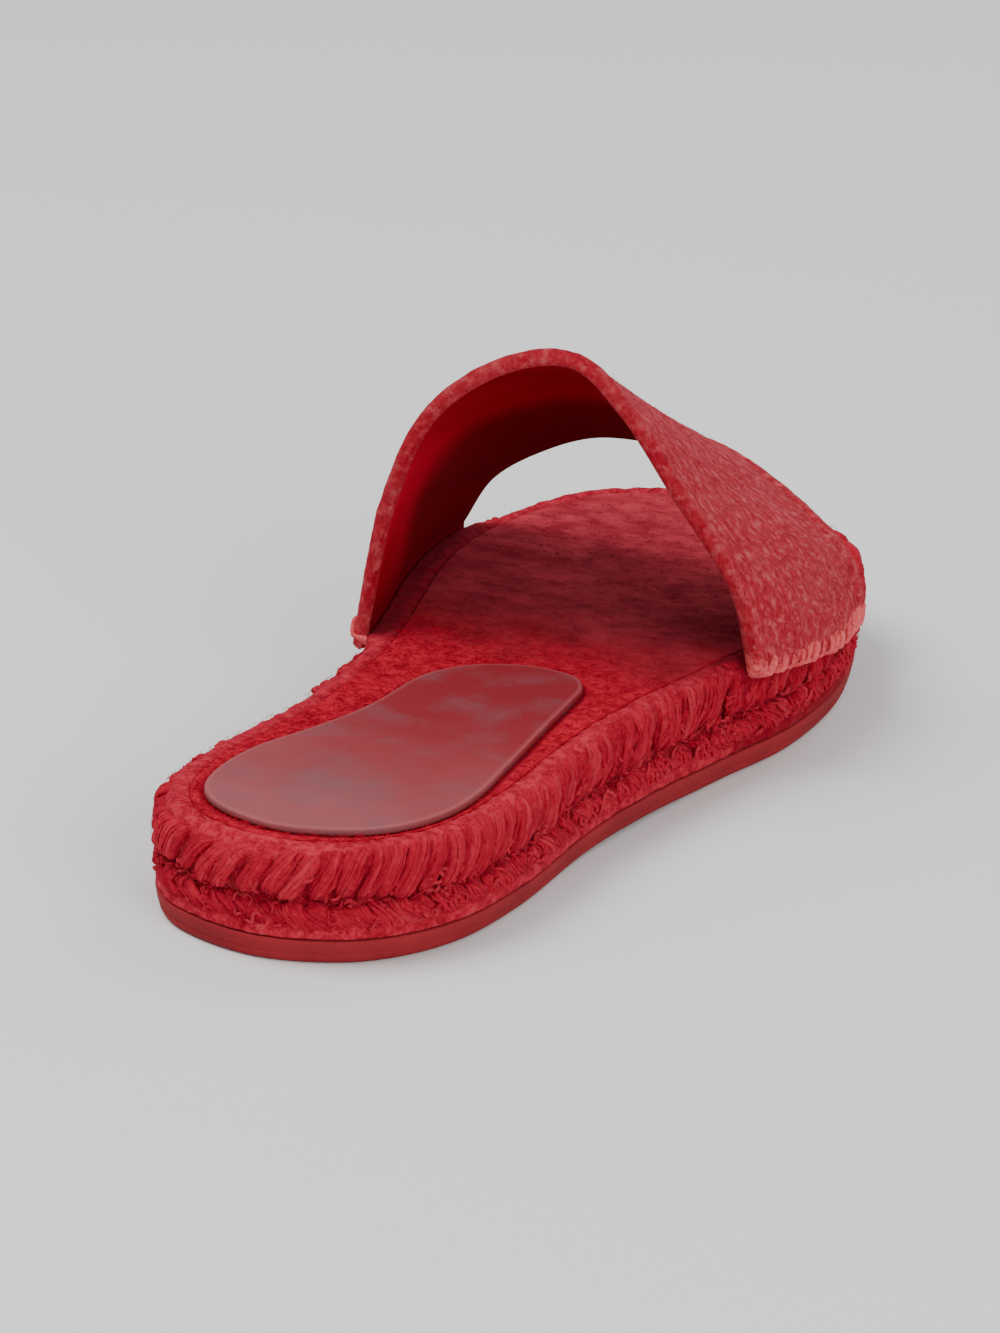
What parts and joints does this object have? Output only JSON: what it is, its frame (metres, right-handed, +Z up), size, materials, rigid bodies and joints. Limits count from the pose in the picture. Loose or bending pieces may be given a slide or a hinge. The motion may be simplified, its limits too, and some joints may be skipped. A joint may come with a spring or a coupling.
{
  "type": "espadrille slide sandal",
  "caption": "Backless espadrille slide with a plaited rope sole on thin rubber, a cloth footbed with a leather heel pad, and one wide cloth band over the instep, open at toe and heel.",
  "frame": {"origin": "on the floor at the centre of the heel's tread, under the heel seat", "axes": "+Y towards the toe, +Z up, +X towards the outer side of a right foot"},
  "size_m": [0.0988, 0.2448, 0.0946],
  "materials": {
    "outsole_rubber": "matt moulded red rubber",
    "sole_rope": "dyed plaited rope, hairy",
    "footbed_cloth": "brushed red cloth, worn at the toes",
    "pad_leather": "thin dull leather",
    "band_cloth": "coarse marled cloth with a smooth lining"
  },
  "bodies": {
    "root": {"outsole": "outsole_rubber", "rope_sole": "sole_rope", "insole": "footbed_cloth", "heel_pad": "pad_leather", "upper": "band_cloth"}
  },
  "joints": []
}
